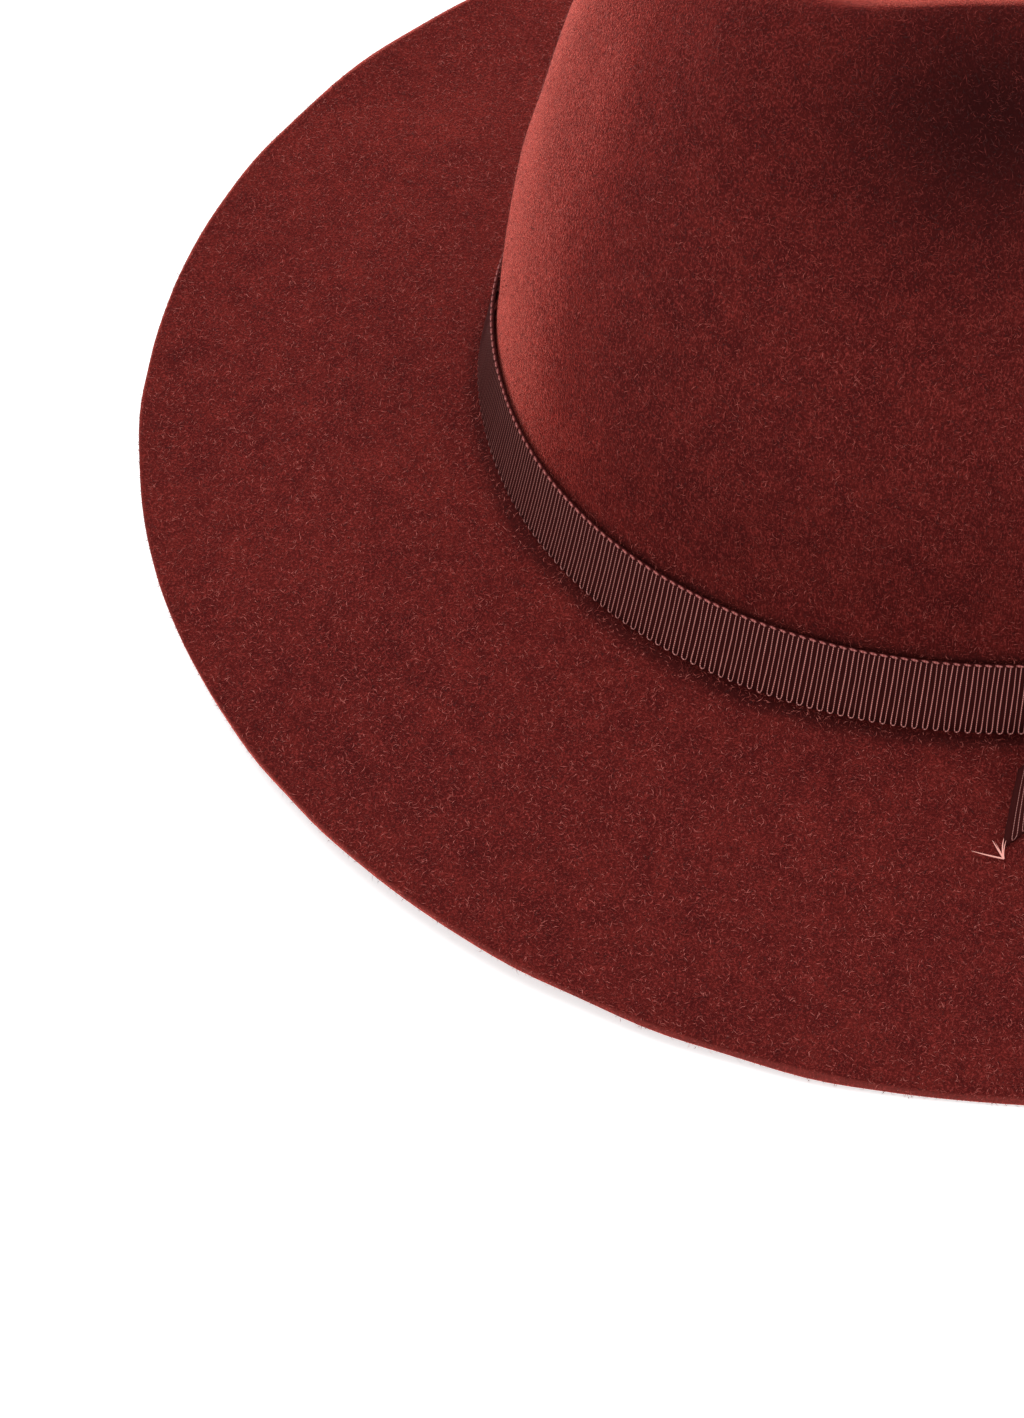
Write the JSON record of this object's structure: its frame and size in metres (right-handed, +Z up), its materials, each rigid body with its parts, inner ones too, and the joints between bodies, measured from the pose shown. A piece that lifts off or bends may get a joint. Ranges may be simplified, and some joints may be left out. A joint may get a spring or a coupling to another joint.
{
  "type": "fur felt fedora hat",
  "caption": "Wide-brimmed fedora of soft fur felt with a teardrop crown, two side pinches, a narrow ribbed ribbon band and a small tied bow.",
  "frame": {"origin": "on the table, under the middle of the brim", "axes": "+Z up through the crown, -Y towards the front of the hat, +X towards the wearer's left, where the bow is"},
  "size_m": [0.318, 0.332, 0.1375],
  "materials": {
    "felt": "brushed rust-red fur felt with a short soft nap",
    "ribbon": "dark plum ribbed ribbon with looped selvedges"
  },
  "bodies": {
    "root": {"felt_body": "felt", "ribbon_band": "ribbon", "bow_knot": "ribbon", "bow_tail_front": "ribbon", "bow_tail_back": "ribbon"}
  },
  "joints": []
}
